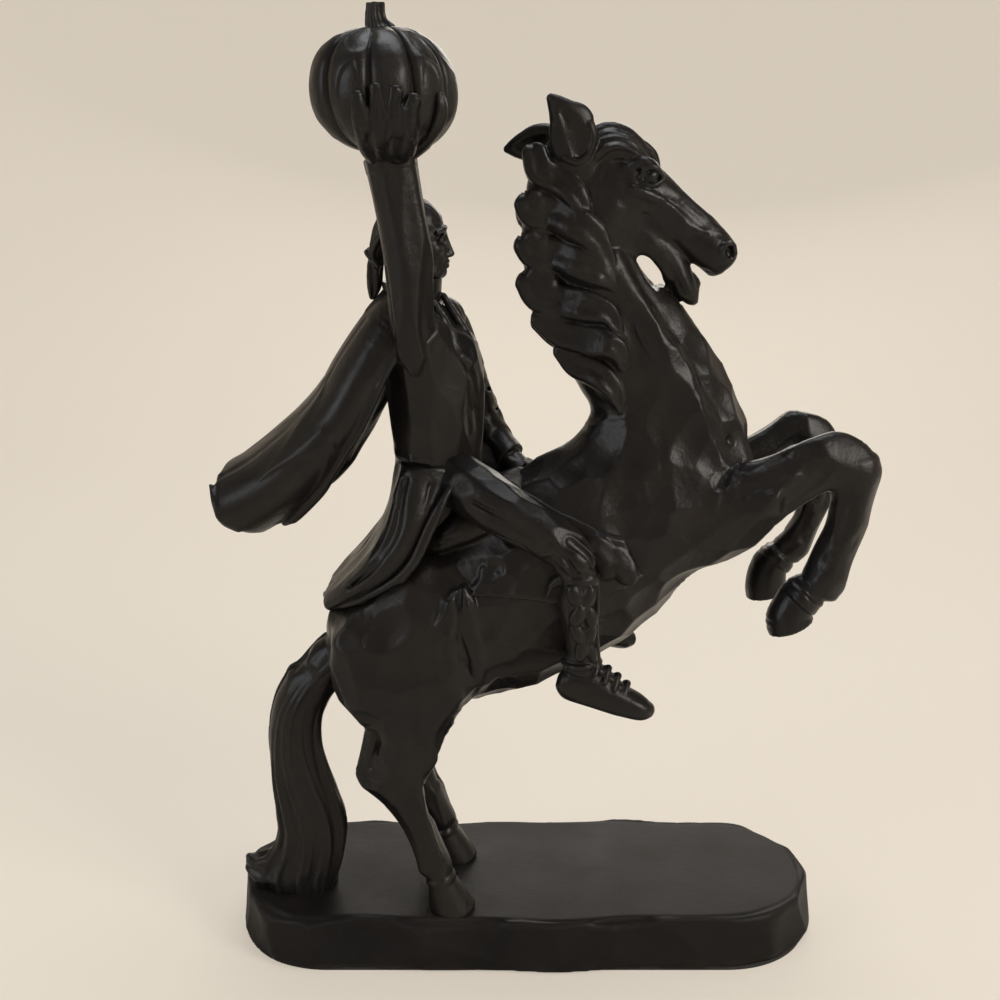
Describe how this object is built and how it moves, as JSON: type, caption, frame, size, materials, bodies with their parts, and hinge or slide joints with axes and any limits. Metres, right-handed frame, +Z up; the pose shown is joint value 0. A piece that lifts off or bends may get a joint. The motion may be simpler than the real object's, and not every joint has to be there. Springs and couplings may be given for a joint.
{
  "type": "equestrian statuette",
  "caption": "Satin black cast-resin statuette of a rearing horse and a caped rider holding up a ribbed gourd, on a chisel-edged oval plinth.",
  "frame": {"origin": "centre of the plinth's underside, on the surface that the statuette stands on", "axes": "+X the way the horse faces, +Z up, so the horse's right side is towards -Y"},
  "size_m": [0.3743, 0.1448, 0.545],
  "materials": {
    "horse_resin": "hand-tooled cast resin in satin near-black paint",
    "rider_resin": "smoother cast resin in the same satin near-black paint",
    "gourd_resin": "ribbed cast resin in satin near-black paint",
    "plinth_resin": "cast resin with a chiselled edge in satin near-black paint",
    "felt": "thin black felt",
    "steel": "zinc-plated steel rod, dowels and screws, all out of sight"
  },
  "bodies": {
    "root": {"plinth": "plinth_resin", "felt_pad": "felt", "gourd": "gourd_resin", "plinth_screws": "steel", "screw_washers": "steel", "hind_leg_rods": "steel", "hind_leg_dowels": "steel", "foreleg_dowels": "steel", "neck_dowel": "steel", "head_dowel": "steel", "tail_dowel": "steel", "torso_dowel": "steel", "rider_head_dowel": "steel", "arm_rod": "steel", "rein_arm_dowel": "steel", "rider_leg_dowels": "steel", "cape_dowels": "steel", "horse_body": "horse_resin", "hind_leg_right": "horse_resin", "hind_leg_left": "horse_resin", "foreleg_right": "horse_resin", "foreleg_left": "horse_resin", "horse_neck": "horse_resin", "horse_head": "horse_resin", "tail": "horse_resin", "saddle": "rider_resin", "rider_torso": "rider_resin", "coat_tails": "rider_resin", "rider_head": "rider_resin", "rider_arm_right": "rider_resin", "right_hand": "rider_resin", "rider_arm_left": "rider_resin", "rider_leg_right": "rider_resin", "rider_leg_left": "rider_resin", "cape": "rider_resin"}
  },
  "joints": []
}
